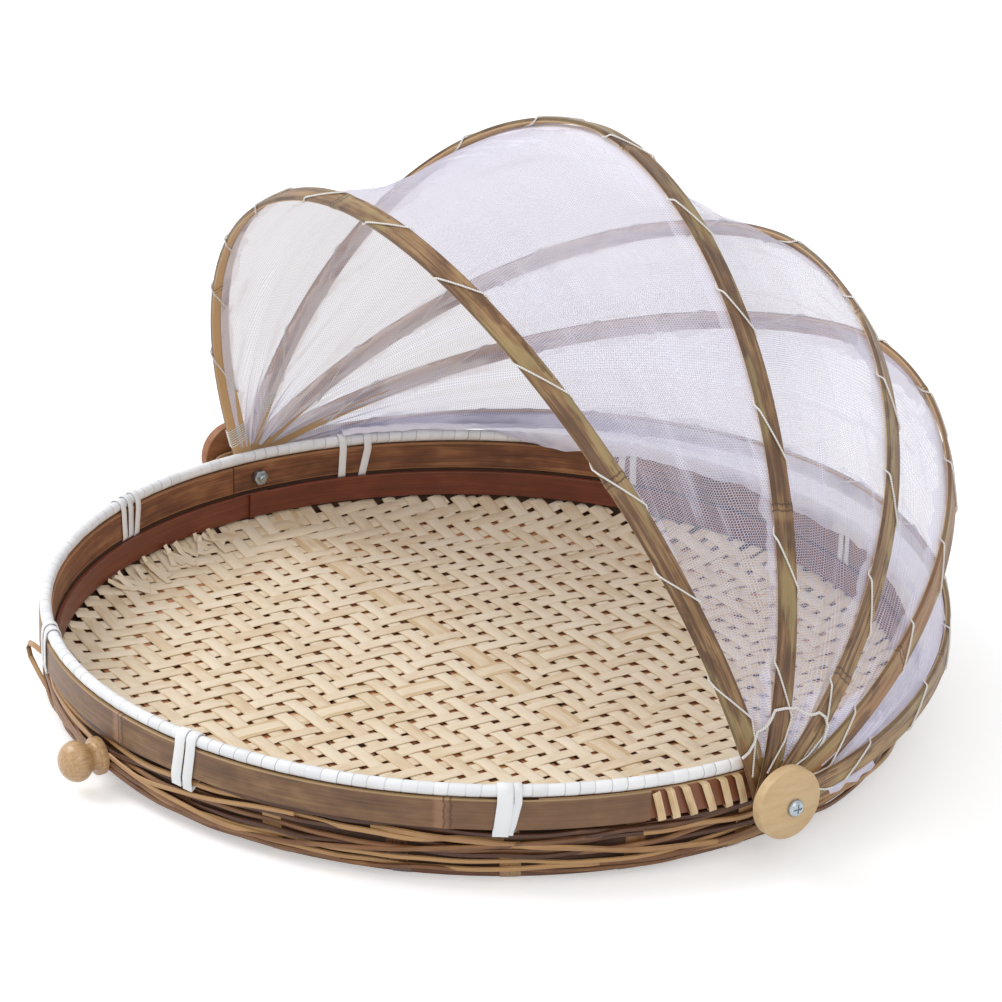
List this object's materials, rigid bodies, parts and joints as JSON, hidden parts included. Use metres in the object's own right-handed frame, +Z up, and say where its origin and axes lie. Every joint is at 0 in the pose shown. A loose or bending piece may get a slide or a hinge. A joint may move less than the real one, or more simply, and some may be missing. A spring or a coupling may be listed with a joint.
{
  "type": "covered food basket",
  "caption": "Round shallow woven bamboo tray with a fan of bamboo hoops and white net that pivots on bolts at both sides and folds over the food.",
  "frame": {"origin": "centre of the tray's flat underside, on the table", "axes": "+Z up, +X along the pivots' axis towards the near pivot, -Y towards the knob at the front"},
  "size_m": [0.4642, 0.4486, 0.2616],
  "materials": {
    "base_splits": "lacquered split bamboo, reddish brown",
    "mat_splits": "bare pale split bamboo",
    "wall_splits": "lacquered split bamboo, brown",
    "band_skin": "bamboo skin, olive brown",
    "cane": "pale cane",
    "inner_band": "stained bamboo, brown",
    "red_band": "stained bamboo, red brown",
    "plastic_strip": "white strip, soft gloss",
    "turned_wood": "turned, lightly waxed",
    "disc_wood": "sawn, bare",
    "zinc": "zinc plated",
    "hoop_bamboo": "split bamboo, olive tan",
    "thread": "white cotton thread",
    "net": "fine white knitted net"
  },
  "bodies": {
    "tray": {"base_weave": "base_splits", "woven_mat": "mat_splits", "side_wall": "wall_splits", "outer_band": "band_skin", "cane_binding": "cane", "upper_inner_band": "inner_band", "lower_inner_band": "red_band", "rim_winding": "plastic_strip", "tie_front_a": "plastic_strip", "tie_front_b": "plastic_strip", "tie_knob_a": "plastic_strip", "tie_knob_b": "plastic_strip", "tie_left_a": "plastic_strip", "tie_left_b": "plastic_strip", "tie_far_left_a": "plastic_strip", "tie_far_left_b": "plastic_strip", "tie_far_left_c": "plastic_strip", "tie_far_a": "plastic_strip", "tie_far_b": "plastic_strip", "tie_back_left_a": "plastic_strip", "tie_back_left_b": "plastic_strip", "tie_back_a": "plastic_strip", "tie_back_b": "plastic_strip", "tie_back_right_a": "plastic_strip", "tie_back_right_b": "plastic_strip", "front_knob": "turned_wood", "pivot_bolt_near": "zinc", "pivot_disc_near": "disc_wood", "pivot_nut_near": "zinc", "pivot_bolt_far": "zinc", "pivot_disc_far": "disc_wood", "pivot_nut_far": "zinc", "hoop_5": "hoop_bamboo", "stitch_thread_5": "thread"},
    "hoop_frame_4": {"hoop_4": "hoop_bamboo", "stitch_thread_4": "thread", "net_panel_4": "net"},
    "hoop_frame_3": {"hoop_3": "hoop_bamboo", "stitch_thread_3": "thread", "net_panel_3": "net"},
    "hoop_frame_2": {"hoop_2": "hoop_bamboo", "stitch_thread_2": "thread", "foot_binding_2": "thread", "net_panel_2": "net"},
    "hoop_frame_1": {"hoop_1": "hoop_bamboo", "stitch_thread_1": "thread", "foot_binding_1": "thread", "net_panel_1": "net"}
  },
  "joints": [
    {"name": "hinge_4", "type": "hinge", "parent": "tray", "child": "hoop_frame_4", "pos_m": [0, 0, 0.035], "axis": [1, 0, 0], "range_deg": [-6.4, 26.6], "deforming": ["net_panel_4"]},
    {"name": "hinge_3", "type": "hinge", "parent": "hoop_frame_4", "child": "hoop_frame_3", "pos_m": [0, 0, 0.035], "axis": [1, 0, 0], "range_deg": [-9.6, 23.4], "deforming": ["net_panel_3"]},
    {"name": "hinge_2", "type": "hinge", "parent": "hoop_frame_3", "child": "hoop_frame_2", "pos_m": [0, 0, 0.035], "axis": [1, 0, 0], "range_deg": [-23.5, 9.5], "deforming": ["net_panel_2"]},
    {"name": "hinge_1", "type": "hinge", "parent": "hoop_frame_2", "child": "hoop_frame_1", "pos_m": [0, 0, 0.035], "axis": [1, 0, 0], "range_deg": [-23.5, 9.5], "deforming": ["net_panel_1"]}
  ]
}
